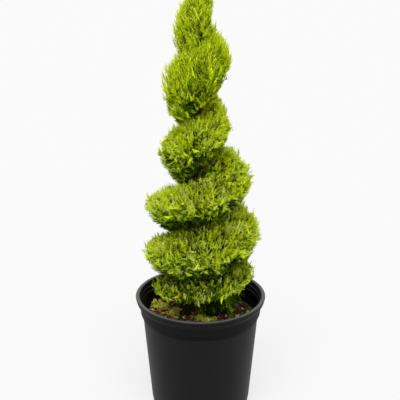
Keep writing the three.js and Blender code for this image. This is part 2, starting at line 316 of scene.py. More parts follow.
# Patches of painted light and shade on the viewer's side: x, z and size in millimetres, and light
PATCHES = [
    (52, 793, 20, -0.4),
    (-6, 791, 24, -0.45),
    (24, 838, 20, 0.25),
    (26, 716, 28, 0.5),
    (-24, 714, 14, -0.9),
    (-36, 655, 16, 0.45),
    (26, 600, 13, 0.45),
    (-5, 602, 18, -0.8),
    (0, 567, 12, -0.6),
    (47, 566, 26, -0.65),
    (-33, 548, 22, 0.5),
    (42, 533, 30, 0.6),
    (74, 525, 36, -0.4),
    (13, 498, 16, 0.35),
    (-36, 472, 18, 0.35),
    (-14, 440, 15, -1.0),
    (-42, 437, 13, -0.7),
    (27, 418, 14, 0.6),
    (100, 393, 24, -0.35),
    (2, 380, 20, 0.6),
    (38, 362, 24, 0.55),
    (-42, 342, 34, 0.7),
    (-44, 298, 26, -0.5),
    (44, 306, 20, -0.5),
]

# From a spray's painted light to its tone; sprays beneath the surface are painted in shade, less
# so in the open air
TONE_LEVELS = (0.72, 0.46, 0.20, -0.05)
UNDER_LIGHT = 0.8
UNDER_LEVELS = (0.75, 1.0)
TINTED_SHARE = 0.02
TINTED_TOP = 0.55
TINTED_IN_GROOVE = 1.6
TINTED_SPRAYS = 0.6
TINTED_LIGHT = 0.3
GREYED_SHARE = 0.14
GREYED_LOW = 0.50
GREYED_TOP = 0.75

# Sprays are left out at the front, near the trunk, at the band's lower edge and where the
# trunk shows: how far such a place faces the viewer, 0 to 1, and where it lies
CLEARED_FRONT = 0.5
CLEARED_ABOVE = 0.3
CLEARED_BELOW = 0.5
CLEARED_SHARE = 0.85
EDGE_FRONT = 0.4
EDGE_UP = -0.55
EDGE_SHARE = 0.35
WINDOW_FRONT = 0.6
WINDOW_FROM = 2.6
WINDOW_X = 3 * MM
WINDOW_WIDTH = 9 * MM
WINDOW_HEIGHT = 14 * MM

# Twigs: from inside the trunk to a tuft's root and on towards its tip
TWIG_SIDES = 4
TWIG_RADII = np.array([1.5, 1.2, 0.9, 0.4]) * MM
TWIG_SLOPE = 0.35
TWIG_LOWEST = 12 * MM
TWIG_ROOT = 0.6
TWIG_SAG = 0.04
TWIG_REACH = 0.2
# A direction that no limb has
ASKEW = np.array([0.13, 0.29, 0.95])

# The inside of a mass, a little uneven: a dark sheet of painted shade
CORE_ACROSS = 15
CORE_ALONG = 14
CORE_DEPTH = 0.72
CORE_FILL = 0.84
CORE_MARGIN = 0.02
CORE_WOBBLE = 0.05
CORE_WAVES = (37, 11, 23, 5)
# Its painted shade is dark in the dense lower masses, and lighter in the thin upper ones
INSIDE_LIGHT_HEIGHTS = (0.70, 0.82)

# The tuft at the tip, with heights and widths as shares of its own
TIP_SPRAYS = 150
TIP_CROWDING = 0.8
TIP_TAPER = 0.8
TIP_SPREADS = (0.75, 1.0)
TIP_LOWEST = 0.12
TIP_ROOT = 0.12
TIP_LENGTHS = (14 * MM, 24 * MM)
TIP_SHARES = [0.5, 0.35, 0.15]

# The shaded sprays that hang from the lowest masses round the foot of the trunk, in two parts:
# how many, the ranges of bearings in degrees and of distances from the axis, heights and drops
# in millimetres, and the shares of three tones
SKIRT_PARTS = [
    (120, (-95, 35), (14, 52), (246, 268), (8, 20), (0.10, 0.35, 0.55)),
    (110, (-48, 22), (44, 84), (256, 292), (14, 26), (0.28, 0.40, 0.32)),
]
SKIRT_SPREAD = (4, 16)
SKIRT_LOWEST = 234 * MM

# The studio, and the photograph's camera as solved from the pot's rim
FLOOR_SIZE = 30.0
FLOOR_GLOW = 0.70
WORLD_STRENGTH = 0.62
SUN_STRENGTH = 2.7
SUN_WIDTH = math.radians(45)
SUN_TILT = math.radians(30)
SUN_SIDEWAYS = math.radians(-2)
CAMERA_PLACE = (0, -2.256, 1.338)
CAMERA_PITCH = math.radians(20.75)
FOCAL_PIXELS = 1131.6
SHIFT_PIXELS = -0.5
IMAGE_PIXELS = 400
SENSOR = 36.0


# Meshes and materials


def mesh_piece(name, points, faces, materials, face_materials=None, smooth=False):
    """A mesh object from arrays: points (n, 3), faces (m, 3 or 4)."""
    points = np.asarray(points, np.float32)
    faces = np.asarray(faces, np.int32)
    sides = faces.shape[1]
    mesh = bpy.data.meshes.new(name)
    mesh.vertices.add(len(points))
    mesh.vertices.foreach_set("co", points.ravel())
    mesh.loops.add(faces.size)
    mesh.loops.foreach_set("vertex_index", faces.ravel())
    mesh.polygons.add(len(faces))
    mesh.polygons.foreach_set("loop_start", np.arange(0, faces.size, sides, dtype=np.int32))
    for face_material in materials:
        mesh.materials.append(face_material)
    if face_materials is not None:
        mesh.polygons.foreach_set("material_index", np.asarray(face_materials, np.int32))
    mesh.polygons.foreach_set("use_smooth", np.full(len(faces), smooth))
    mesh.update(calc_edges=True)
    obj = bpy.data.objects.new(name, mesh)
    bpy.context.scene.collection.objects.link(obj)
    return obj


def ring_quads(rings, sides):
    """The quads between closed rings of points that follow each other."""
    index = np.arange(rings * sides).reshape(rings, sides)
    following = np.roll(index, -1, axis=1)
    return np.stack([index[:-1], following[:-1], following[1:], index[1:]], -1).reshape(-1, 4)


def round_angles(sides):
    return 2 * math.pi * np.arange(sides) / sides


def pointing(angle):
    """Level directions with the given bearings, as (x, y) pairs."""
    return np.stack([np.cos(angle), np.sin(angle)], 1)


def unit(vectors):
    return vectors / np.maximum(np.linalg.norm(vectors, axis=-1, keepdims=True), 1e-9)


def material(name, color, roughness, specular):
    made = bpy.data.materials.new(name)
    made.use_nodes = True
    shader = made.node_tree.nodes["Principled BSDF"]
    shader.inputs["Base Color"].default_value = (*color, 1)
    shader.inputs["Roughness"].default_value = roughness
    shader.inputs["Specular IOR Level"].default_value = specular
    return made


def plain_materials(colors, roughness, specular):
    return [material(name, color, roughness, specular) for name, color in colors.items()]


def add_bump(made, scale, strength, distance, stretch=(1, 1, 1), detail=4):
    """A fine relief from noise, in the object's own coordinates."""
    nodes, links = made.node_tree.nodes, made.node_tree.links
    where = nodes.new("ShaderNodeTexCoord")
    mapping = nodes.new("ShaderNodeMapping")
    mapping.inputs["Scale"].default_value = stretch
    grain = nodes.new("ShaderNodeTexNoise")
    grain.inputs["Scale"].default_value = scale
    grain.inputs["Detail"].default_value = detail
    bump = nodes.new("ShaderNodeBump")
    bump.inputs["Strength"].default_value = strength
    bump.inputs["Distance"].default_value = distance
    links.new(where.outputs["Object"], mapping.inputs["Vector"])
    links.new(mapping.outputs["Vector"], grain.inputs["Vector"])
    links.new(grain.outputs["Fac"], bump.inputs["Height"])
    links.new(bump.outputs["Normal"], nodes["Principled BSDF"].inputs["Normal"])
    return grain


def add_mottle(made, grain, low, high, start=0.35, end=0.65):
    """The base colour runs from low to high with the same noise."""
    nodes, links = made.node_tree.nodes, made.node_tree.links
    ramp = nodes.new("ShaderNodeValToRGB")
    ramp.color_ramp.elements[0].position = start
    ramp.color_ramp.elements[0].color = (*low, 1)
    ramp.color_ramp.elements[1].position = end
    ramp.color_ramp.elements[1].color = (*high, 1)
    links.new(grain.outputs["Fac"], ramp.inputs["Fac"])
    links.new(ramp.outputs["Color"], nodes["Principled BSDF"].inputs["Base Color"])


# The band and the trunk, as in the solids


def graded(values, start, end):
    """From 0 at the start to 1 at the end, and level outside."""
    return np.clip((values - start) / (end - start), 0, 1)


def along_band(turn, values):
    """A smooth value between the band's stations, by a Catmull-Rom curve."""
    place = (turn - FIRST_STATION_TURN) * 2
    last = len(values) - 1
    index = np.clip(np.floor(place).astype(int), 0, last - 1)
    share = place - index
    a, b, c, d = (values[np.clip(index + step, 0, last)] for step in (-1, 0, 1, 2))
    return b + 0.5 * share * (
        c - a + share * (2 * a - 5 * b + 4 * c - d + share * (3 * (b - c) + d - a))
    )


def bearing(turn):
    return math.pi * (1 + 2 * turn)


def band_top(turn):
    return along_band(turn, BAND_TOPS)


def band_middle(turn):
    return (band_top(turn) + band_top(turn - 1)) / 2


def band_room(turn):
    return (band_top(turn) - band_top(turn - 1)) / 2


def band_reach(turn):
    from_end = np.minimum(turn - BAND_START, BAND_END - turn) / BAND_TAPER
    swell = np.sin(math.pi / 2 * np.clip(from_end, 0, 1))
    return along_band(turn, BAND_REACHES) * (BAND_TAPER_FROM + (1 - BAND_TAPER_FROM) * swell)


def groove_room(turn):
    """Half the width of the groove above the band at the trunk, widest towards the front."""
    facing = np.maximum(-np.sin(bearing(turn)), 0) ** FRONT_SHARPNESS
    return along_band(turn, BAND_GROOVES) + FRONT_GROOVE * facing


def between_grooves(turn, up, overhang=0.0):
    """A height in the section, kept to what the grooves leave, less what hangs over them."""
    room = band_room(turn)
    under = np.maximum(groove_room(turn - 1) - overhang, 0)
    over = np.maximum(groove_room(turn) - overhang, 0)
    return np.clip(up, under / room - 1, 1 - over / room)


def trunk_radius(height):
    climb = (height - SOIL_LEVEL) / (TRUNK_TOP - SOIL_LEVEL)
    taper = TRUNK_BASE_RADIUS + (TRUNK_TOP_RADIUS - TRUNK_BASE_RADIUS) * climb
    return taper + ROOT_FLARE * np.exp(-(height - SOIL_LEVEL) / ROOT_FLARE_HEIGHT)


def trunk_middle(height):
    sway = TRUNK_SWAY * np.sin(math.pi * graded(height, SOIL_LEVEL, TRUNK_TOP))
    phase = 2 * math.pi * (height - SWAY_MIDDLE) / SWAY_LENGTH
    return sway * np.sin(phase), sway / 2 * np.cos(phase)


def round_trunk(height, radius, angle):
    """Points at the given distances from the trunk's middle line."""
    x, y = trunk_middle(height)
    return np.stack([x + radius * np.cos(angle), y + radius * np.sin(angle), height], -1)


def band_point(turn, out, up):
    """A point of the band: turns along it, how far out (0 to 1) and how far up (-1 to 1)."""
    lift = along_band(turn, BAND_LIFTS)
    height = band_middle(turn) + band_room(turn) * (up + lift * (1 - up * up))
    inner = trunk_radius(height) + CORE_GAP
    return round_trunk(height, inner + out * (band_reach(turn) - inner), bearing(turn))


def section_point(turn, share):
    """The section's outline from its lower edge (0) out and round to its upper (1)."""
    angle = math.pi * (np.clip(share, SECTION_MARGIN, 1 - SECTION_MARGIN) - 0.5)
    roundness = np.where(angle < 0, along_band(turn, BAND_UNDERS), OVER_ROUNDNESS)
    up = np.sign(angle) * np.abs(np.sin(angle)) ** roundness
    return np.cos(angle) ** roundness, SECTION_HEIGHT * up


# The foliage's colours, and the four of each tone from a spray's root to its tip, darker at the
# root as painted shade

FOLIAGE_COLORS = {
    "needles_dark": (0.032, 0.058, 0.003),
    "needles_deep": (0.078, 0.142, 0.004),
    "needles_mid": (0.215, 0.340, 0.003),
    "needles_light": (0.520, 0.660, 0.008),
    "needles_lime": (0.920, 0.950, 0.080),
    "needles_bronze": (0.220, 0.130, 0.016),
    "needles_rust": (0.500, 0.420, 0.030),
    "needles_sage": (0.230, 0.335, 0.026),
    "needles_pale": (0.530, 0.640, 0.078),
    # The palest colour is a painted sheen on the tips of the brightest greyed sprays
    "needles_painted_sheen": (0.940, 0.950, 0.440),
}
DARK, DEEP, MID, LIGHT, LIME, BRONZE, RUST, SAGE, PALE, PAINTED_SHEEN = range(10)
TONES = np.array([
    [MID, LIGHT, LIGHT, LIME],
    [DEEP, MID, LIGHT, LIGHT],
    [DEEP, MID, MID, LIGHT],
    [DARK, DEEP, DEEP, MID],
    [DARK, DARK, DARK, DEEP],
    [BRONZE, RUST, LIGHT, LIGHT],
    [DARK, BRONZE, RUST, MID],
    [SAGE, PALE, PALE, PAINTED_SHEEN],
    [DEEP, SAGE, PALE, PALE],
    [DEEP, SAGE, SAGE, PALE],
    [DARK, DEEP, DEEP, SAGE],
])
# The first five tones are levels of painted light and shade, from bright to deep shade; the sixth
# is a bronze tint and the seventh its darker copy, for tinted sprays in painted shade
BRIGHT, HALF_BRIGHT, PLAIN, SHADED, DEEP_SHADED, TINTED, DARK_TINTED = range(7)
# From one of the first four tones to its greyer one
TO_GREYER = 7
SPINE_TONE = 2
foliage_materials = plain_materials(FOLIAGE_COLORS, 0.65, 0.02)


# Sprays of needles


def kites(base, tip, side, width, bow):
    """Pointed slips from base to tip, bowed at the middle: points and triangles."""
    middle = (1 - WIDEST) * base + WIDEST * tip + bow
    half = side * (width / 2)[:, None]
    points = np.stack([base, middle + half, tip, middle - half], 1)
    corners = np.array([[0, 1, 2], [0, 2, 3]])
    faces = corners[None] + 4 * np.arange(len(base))[:, None, None]
    return points.reshape(-1, 3), faces.reshape(-1, 3)


def spray_piece(
    name, ends, tones, rng, materials=foliage_materials, forked=True, stoutness=1.0, slender=0.0
):
    """Feathery sprays: a spine, fingers on both sides that curl forwards, and twiglets."""
    base, tip = ends
    count = len(base)
    forked = np.flatnonzero(np.broadcast_to(forked, count))
    length = np.linalg.norm(tip - base, axis=1)
    along = unit(tip - base)
    around = unit(np.cross(along, unit(rng.normal(size=(count, 3)))))
    face = np.cross(along, around)
    bend = face * (rng.uniform(-1, 1, count) * SPRAY_BEND * length)[:, None]
    bend += around * (rng.uniform(-1, 1, count) * SPRAY_BEND * length)[:, None]
    bend[:, 2] -= SPRAY_SAG * length

    def spine(share):
        return base + (tip - base) * share[:, None] + bend * (4 * share * (1 - share))[:, None]

    parts = [kites(base, tip, around + face, np.full(count, stoutness * SPINE_WIDTH), bend)]
    colors = [np.repeat(TONES[tones, SPINE_TONE], 2)]
    bands = TONES.shape[1]
    for i in range(FINGERS):
        share = FINGER_FROM + (FINGER_TO - FINGER_FROM) * i / (FINGERS - 1)
        share = np.clip(share + rng.uniform(-FINGER_SHIFT, FINGER_SHIFT, count), 0, FINGER_LAST)
        root = spine(share)
        stray = rng.uniform(-FINGER_STRAY, FINGER_STRAY, count)[:, None]
        outward = unit((1 if i % 2 else -1) * around + stray * face)
        angle = FINGER_ANGLE * rng.uniform(*FINGER_ANGLES, count) * (1 - FINGER_CLOSING * share)
        angle *= 1 - SLENDER_FINGERS * slender
        heading = unit(along * np.cos(angle)[:, None] + outward * np.sin(angle)[:, None])
        reach = length * FINGER_LENGTH * (1 - FINGER_SHORTENING * share)
        reach *= rng.uniform(*FINGER_LENGTHS, count)
        end = root + heading * reach[:, None]
        bow = (outward - along) * (FINGER_BOW * reach)[:, None]
        flat = unit(np.cross(heading, face + FINGER_STRAY * rng.normal(size=(count, 3))))
        width = stoutness * FINGER_WIDTH * rng.uniform(*FINGER_WIDTHS, count)
        # Fingers nearer the root take darker colours of the tone: painted shade
        band = (share * bands + rng.uniform(*FINGER_TONE_STRAYS, count)).astype(int)
        color = TONES[tones, np.clip(band, 0, bands - 1)]
        parts.append(kites(root, end, flat, width, bow))
        colors.append(np.repeat(color, 2))
        if i >= FORKED_FINGERS:
            continue
        for side in (-1, 1):
            fork = root + bow + heading * (reach * rng.uniform(*FORK_PLACES, count))[:, None]
            aim = unit(heading + side * TWIGLET_ANGLE * unit(np.cross(heading, face)))
            twiglet = fork + aim * (reach * TWIGLET_LENGTH)[:, None]
            slips = (fork, twiglet, flat, TWIGLET_WIDTH * width, TWIGLET_BOW * bow)
            parts.append(kites(*(values[forked] for values in slips)))
            colors.append(np.repeat(color[forked], 2))
    return mesh_piece(name, *joined(parts), materials, np.concatenate(colors))


def joined(parts):
    """Several meshes' points and faces as one."""
    offset, points, faces = 0, [], []
    for part_points, part_faces in parts:
        points.append(part_points)
        faces.append(part_faces + offset)
        offset += len(part_points)
    return np.concatenate(points), np.concatenate(faces)


# The foliage masses


def sheet(turn, share, depth):
    """Points on the band's surface scaled to a depth, kept out of the grooves."""
    turn = np.clip(turn, BAND_START, BAND_END)
    out, up = section_point(turn, share)
    overhang = OVERHANG + HIGH_OVERHANG * graded(band_middle(turn), *OVERHANG_HEIGHTS)
    up = up * SHEET_FILL * np.minimum(depth + SHEET_ROOM, SHEET_LIMIT)
    return band_point(turn, out * depth, between_grooves(turn, up, overhang))


def surface_normal(turn, share):
    """The outward direction of the band's surface."""
    step = NORMAL_STEP
    along = sheet(turn + step, share, 1.0) - sheet(turn - step, share, 1.0)
    share = np.clip(share, 2 * step, 1 - 2 * step)
    across = sheet(turn, share + step, 1.0) - sheet(turn, share - step, 1.0)
    return unit(np.cross(along, across))


def grow_tufts(start, end, rng):
    """The tufts of one mass: where each stands along and round the band, and how it differs."""
    middle = (start + end) / 2
    reach = band_reach(middle)
    girth = GIRTH_OF_ROOM * band_room(middle) + GIRTH_OF_REACH * reach
    stretch = 2 * math.pi * COLUMN_CIRCLE * reach * (end - start)
    columns = max(LEAST_COLUMNS, round(stretch / TUFT_SPACING))
    rows = max(LEAST_ROWS, round(girth / TUFT_SPACING))
    column, row = np.meshgrid(np.arange(columns), np.arange(rows), indexing="ij")
    column, row = column.ravel(), row.ravel()
    count = len(row)
    # Every other row is shifted by half a column
    place = column + (0.25 + 0.5 * (row % 2)) + rng.uniform(-COLUMN_STRAY, COLUMN_STRAY, count)
    turn = start + place / columns * (end - start)
    share = (row + 0.5 + rng.uniform(-ROW_STRAY, ROW_STRAY, count)) / rows
    share = np.clip(share, ROW_MARGIN, 1 - ROW_MARGIN)
    return SimpleNamespace(
        turn=turn, share=share, turn_step=(end - start) / columns, share_step=1 / rows,
        root=sheet(turn, share, TUFT_ROOT),
        swell=1 + rng.uniform(-TUFT_SWELL, TUFT_SWELL, count),
        bronzed=rng.random(count),
        mood=rng.normal(0, TUFT_MOOD, count),
        lean=TUFT_STRAY * rng.normal(size=(count, 3)),
    )


def place_tips(tufts, rng):
    """Where the sprays of the tufts end, and what sort each of them is."""
    each = TUFT_SPRAYS + UNDER_SPRAYS
    count = len(tufts.turn)
    index = np.repeat(np.arange(count), each)
    order = np.tile(np.arange(each), count)
    many = len(index)
    height = tufts.root[index, 2]
    under = order >= TUFT_SPRAYS
    wisp = (rng.random(many) < WISP_SHARE) & ~under
    swell = 1 + rng.uniform(-TIP_SWELL, TIP_SWELL, many)
    depth = TIP_DEPTH * tufts.swell[index] * swell
    depth = np.where(under, rng.uniform(*UNDER_DEPTH, many), depth)
    upright = graded(height, *HIGH_HEIGHTS)
    topmost = graded(height, *TOP_HEIGHTS)
    drawn_in = 1 - HIGH_DRAW * upright - TOP_DRAW * topmost
    wisp_depth = rng.uniform(*WISP_DEPTH, many) + HIGH_WISP * upright - TOP_DRAW * topmost
    depth = np.where(wisp, wisp_depth, depth * drawn_in)
    offset = rng.normal(0, TUFT_SPREAD, (2, many))
    from_middle = np.minimum(np.hypot(*offset), TUFT_EDGE) ** 2
    turn = tufts.turn[index] + offset[0] * tufts.turn_step
    share = tufts.share[index] + offset[1] * tufts.share_step
    depth = depth - np.where(wisp, 0, TUFT_EDGE_DEPTH * from_middle)
    tip = sheet(turn, share, depth)

    normal = surface_normal(turn, share)
    steep = np.clip(FLAME_SLOPE * normal[:, 2], 0, 1)
    flame = (rng.random(many) < FLAME_SHARE * steep) & ~under
    flame_height = rng.uniform(*FLAME_HEIGHT, many) * (1 + HIGH_FLAME * upright)
    tip[:, 2] += np.where(flame, flame_height, 0)
    angle = bearing(turn)
    out, up = section_point(turn, share)
    front = np.maximum(-np.sin(angle), 0)
    open_air = graded(tip[:, 2], *OPEN_AIR_HEIGHTS)
    return SimpleNamespace(
        index=index, turn=turn, tip=tip, depth=depth, from_middle=from_middle, normal=normal,
        angle=angle, out=out, up=up, front=front, open_air=open_air, under=under, wisp=wisp,
        flame=flame, upright=upright, topmost=topmost,
    )


def spray_bases(tufts, tips, rng):
    """A spray points out of the surface and away from the trunk, and bends upwards."""
    many = len(tips.index)
    normal, upright = tips.normal, tips.upright
    outward = np.column_stack([pointing(tips.angle), np.zeros(many)])
    lift = rng.uniform(*SPRAY_LIFT, many) + HIGH_LIFT * upright
    lift *= 1 + LEVEL_BENEATH * np.minimum(normal[:, 2], 0)
    stray = SPRAY_STRAY * rng.normal(size=(many, 3))
    heading = unit(normal + outward) + tufts.lean[tips.index] + stray
    heading[:, 2] += lift + FLAME_LIFT * tips.flame
    steepness = (heading * normal).sum(1) / np.linalg.norm(heading, axis=1)
    heading = unit(heading) + normal * np.maximum(LEAST_STEEPNESS - steepness, 0)[:, None]
    heading = unit(heading)
    length = rng.uniform(*SPRAY_LENGTH, many) * (1 + HIGH_LENGTH * upright)
    length *= 1 - HIGH_SHORTENING * upright * np.clip(-normal[:, 2], 0, 1)
    reach = band_reach(np.clip(tips.turn, BAND_START, BAND_END))
    length = np.minimum(length, LONGEST_OF_REACH * reach)
    return tips.tip - heading * length[:, None]


def spray_light(tufts, tips, rng):
    """Bright where a tip faces up and out, shaded in the grooves and underneath."""
    x, z = tips.tip[:, 0], tips.tip[:, 2]
    out, up, upright, shut_in = tips.out, tips.up, tips.upright, 1 - tips.open_air
    facing = tips.front > 0
    light = LIGHT_BASE + LIGHT_UP * tips.normal[:, 2]
    light += LIGHT_HEIGHT * (z - LIGHT_HEIGHT_FROM)
    beneath = (LIGHT_LOW + LIGHT_LOW_FRONT * tips.front) * shut_in
    light += beneath * np.minimum(up - LIGHT_LOW_FROM, 0)
    sheltered = np.clip((SHELTERED_TOP - z) / SHELTERED_DEPTH, 0, 1)
    above = GROOVE_SHADE_ABOVE + SHELTERED_SHADE * sheltered
    groove = np.where(up > 0, above, GROOVE_SHADE * (1 - GROOVE_AIRING * tips.open_air))
    groove += np.clip(x / RIGHT_WIDTH, 0, 1) * facing
    light -= groove * (1 - out) ** 2
    middle = np.exp(-(((x - MIDDLE_SHADE_X) / MIDDLE_SHADE_WIDTH) ** 2)) * facing
    light -= MIDDLE_SHADE * shut_in * middle * np.clip(MIDDLE_SHADE_UP - up, 0, 1)
    light -= FOOT_SHADE * np.clip((FOOT_SHADE_TOP - z) / FOOT_SHADE_DEPTH, 0, 1)
    light -= TUFT_EDGE_SHADE * tips.from_middle
    # Patches of painted light and shade
    for patch_x, patch_z, patch_size, patch_light in PATCHES:
        away = np.hypot(x - patch_x * MM, z - patch_z * MM) / (patch_size * MM)
        light += patch_light * np.exp(-(away**2)) * facing
    spray_mood = SPRAY_MOOD * (1 - HIGH_MOOD * upright) * rng.normal(size=len(x))
    light += tufts.mood[tips.index] + spray_mood + LIGHT_DEPTH * (tips.depth - 1)
    light += TOP_LIGHT * tips.topmost - HIGH_SHADE * upright
    return np.where(tips.wisp & (upright > 0), np.maximum(light, WISP_LIGHT), light)


def spray_tones(tufts, tips, light, rng):
    """Each spray's tone: by its painted light and shade, then tinted near the trunk and on top, or
    greyed.
    """
    many = len(light)
    levels = [light > level for level in TONE_LEVELS]
    tones = np.select(levels, [BRIGHT, HALF_BRIGHT, PLAIN, SHADED], DEEP_SHADED)
    # Sprays beneath the surface are painted in shade, less so in the open air
    chance = rng.random(many) + UNDER_LIGHT * tips.open_air
    under_levels = [chance < level for level in UNDER_LEVELS]
    under_tones = np.select(under_levels, [DEEP_SHADED, SHADED], PLAIN)
    tones = np.where(tips.under, under_tones, tones)
    warm = np.clip(tips.normal[:, 2], 0, 1) ** 2
    warm = warm + np.clip(1 - TINTED_IN_GROOVE * tips.out, 0, 1) * (tips.up > 0)
    tinted = tufts.bronzed[tips.index] < TINTED_SHARE + TINTED_TOP * warm
    tinted &= rng.random(many) < TINTED_SPRAYS
    # Tinted sprays in less painted light take the darker tint: painted shade
    tints = np.where(light > TINTED_LIGHT, TINTED, DARK_TINTED)
    tones = np.where(tinted & ~tips.under, tints, tones)
    # Some sprays take a greyer tone; the brightest of them end in a painted sheen
    grey_share = GREYED_SHARE + GREYED_LOW * np.clip(1 - tips.tip[:, 2] / GREYED_TOP, 0, 1)
    greyed = rng.random(many) < grey_share * (1 - tips.upright)
    return np.where(greyed & (tones <= SHADED), tones + TO_GREYER, tones)


def left_out(tufts, tips, rng):
    """The grooves at the front are open down to the trunk, and sparse at their lower edges."""
    many = len(tips.index)
    up, front, shut_in = tips.up, tips.front, 1 - tips.open_air
    near = tips.out < np.where(up > 0, CLEARED_ABOVE, CLEARED_BELOW)
    hidden = (front > CLEARED_FRONT) & near & (rng.random(many) < CLEARED_SHARE * shut_in)
    edge = (front > EDGE_FRONT) & (up < EDGE_UP)
    hidden |= edge & (rng.random(many) < EDGE_SHARE * shut_in)
    clear = band_top(tips.turn - 1) + groove_room(tips.turn - 1) + WINDOW_HEIGHT
    window = (np.abs(tips.tip[:, 0] - WINDOW_X) < WINDOW_WIDTH) & (tips.tip[:, 2] < clear)
    window &= (up < 0) & (front > WINDOW_FRONT) & (tufts.turn[tips.index] > WINDOW_FROM)
    return hidden | window


def mass_needles(name, tufts, rng):
    """The sprays of one mass, tuft by tuft."""
    tips = place_tips(tufts, rng)
    base = spray_bases(tufts, tips, rng)
    light = spray_light(tufts, tips, rng)
    tones = spray_tones(tufts, tips, light, rng)
    kept = ~left_out(tufts, tips, rng)
    ends = base[kept], tips.tip[kept]
    forked, slender = ~tips.under[kept], tips.upright[kept]
    return spray_piece(name, ends, tones[kept], rng, forked=forked, slender=slender)


def tube(points, radii, sides):
    """Many limbs through points (n, k, 3) with radii (k)."""
    count, rings = points.shape[:2]
    along = unit(points[:, -1] - points[:, 0])
    across = unit(np.cross(along, ASKEW))
    other = np.cross(along, across)
    angle = round_angles(sides)[None, :, None]
    circle = np.cos(angle) * across[:, None] + np.sin(angle) * other[:, None]
    rim = points[:, :, None] + radii[:, None, None] * circle[:, None]
    offsets = np.arange(count) * rings * sides
    faces = (ring_quads(rings, sides)[None] + offsets[:, None, None]).reshape(-1, 4)
    return rim.reshape(-1, 3), faces


def mass_twigs(tufts):
    """The twigs that carry the tufts of one mass: points and quads."""
    root = tufts.root
    height = root[:, 2] - TWIG_SLOPE * np.hypot(root[:, 0], root[:, 1])
    height = np.clip(height, SOIL_LEVEL + TWIG_LOWEST, None)
    foot = round_trunk(height, TWIG_ROOT * trunk_radius(height), bearing(tufts.turn))
    bow = (1 - WIDEST) * foot + WIDEST * root
    bow[:, 2] -= TWIG_SAG * np.linalg.norm(root - foot, axis=1)
    outer = root + TWIG_REACH * (sheet(tufts.turn, tufts.share, 1.0) - root)
    return tube(np.stack([foot, bow, root, outer], 1), TWIG_RADII, TWIG_SIDES)


def mass_inside(start, end):
    """The dense inside of one mass, a dark sheet of painted shade, as a closed grid: points and
    quads.
    """
    turns = np.linspace(start, end, CORE_ALONG)
    shares = np.linspace(CORE_MARGIN, 1 - CORE_MARGIN, CORE_ACROSS)
    turn, share = np.meshgrid(turns, shares, indexing="ij")
    out, up = section_point(turn, share)
    along, slant, across, shift = CORE_WAVES
    wave = np.sin(along * turn + slant * share)
    wobble = 1 + CORE_WOBBLE * wave * np.sin(across * share + shift)
    points = band_point(turn, out * CORE_DEPTH * wobble, CORE_FILL * between_grooves(turn, up))
    return points.reshape(-1, 3), ring_quads(CORE_ALONG, CORE_ACROSS)


mass_names = [f"foliage_{i + 1:02d}" for i in range(MASS_COUNT)]
stretch = (BAND_END - BAND_START) / MASS_COUNT
twig_parts, inside_parts = [], []

for number, name in enumerate(mass_names):
    rng = np.random.default_rng(SEED + number)
    start = BAND_START + number * stretch
    end = start + stretch
    tufts = grow_tufts(start, end, rng)
    leaves = mass_needles("needles_" + name[-2:], tufts, rng)
    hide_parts(name)
    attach(leaves, "root")
    twig_parts.append(mass_twigs(tufts))
    inside_parts.append(mass_inside(start, end))


# The tuft at the tip


def tip_needles(name, rng):
    share = rng.random(TIP_SPRAYS) ** TIP_CROWDING
    angle = rng.uniform(0, 2 * math.pi, TIP_SPRAYS)
    spread = TIP_RADIUS * (1 - share) ** TIP_TAPER * rng.uniform(*TIP_SPREADS, TIP_SPRAYS)
    height = TRUNK_TOP + (TIP_TOP - TRUNK_TOP) * (TIP_LOWEST + (1 - TIP_LOWEST) * share)
    tip = np.column_stack([pointing(angle) * spread[:, None], height])
    height = height - rng.uniform(*TIP_LENGTHS, TIP_SPRAYS)
    base = np.column_stack([pointing(angle) * (TIP_ROOT * spread)[:, None], height])
    tones = rng.choice([BRIGHT, HALF_BRIGHT, PLAIN], TIP_SPRAYS, p=TIP_SHARES)
    return spray_piece(name, (base, tip), tones, rng)


leaves = tip_needles("needles_tip", np.random.default_rng(SEED + MASS_COUNT))
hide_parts("foliage_tip")
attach(leaves, "root")


# The skirt of shaded sprays


def skirt_part(rng, many, bearings, distances, heights, drops, shares):
    """The bases, tips and tones of one part of the skirt."""
    outward = pointing(np.radians(rng.uniform(*bearings, many)))
    from_axis = rng.uniform(*distances, many)[:, None] * MM
    height = rng.uniform(*heights, many) * MM
    spread = rng.uniform(*SKIRT_SPREAD, many)[:, None] * MM
    tip_height = np.maximum(height - rng.uniform(*drops, many) * MM, SKIRT_LOWEST)
    base = np.column_stack([outward * from_axis, height])
    tip = np.column_stack([outward * (from_axis + spread), tip_height])
    return base, tip, rng.choice([PLAIN, SHADED, DEEP_SHADED], many, p=shares)


def skirt_needles(name, rng):
    parts = [skirt_part(rng, *part) for part in SKIRT_PARTS]
    base, tip, tones = (np.concatenate(values) for values in zip(*parts))
    return spray_piece(name, (base, tip), tones, rng)


leaves = skirt_needles("needles_skirt", np.random.default_rng(SKIRT_SEED))
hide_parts(*mass_names[:4])
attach(leaves, "root")

# The twigs, and the inside of all the masses as a dark sheet of painted shade

twig_material = material("twig_bark", (0.075, 0.050, 0.018), 0.85, 0.2)
twigs = mesh_piece("twigs", *joined(twig_parts), [twig_material], smooth=True)
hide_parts(*mass_names)
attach(twigs, "root")

# The inside's colours are painted shade, lighter in the upper masses
INSIDE_COLORS = {
    "inner_shade": (0.030, 0.040, 0.004),
    "inner_light": (0.130, 0.175, 0.004),
}
inside_materials = plain_materials(INSIDE_COLORS, 1.0, 0.0)
rng = np.random.default_rng(INSIDE_SEED)
points, faces = joined(inside_parts)
lighter = graded(points[faces].mean(axis=1)[:, 2], *INSIDE_LIGHT_HEIGHTS)
lighter = (lighter > rng.random(len(faces))).astype(int)
inside = mesh_piece("inner_foliage", points, faces, inside_materials, lighter)
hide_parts(*mass_names)
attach(inside, "root")


# Trunk


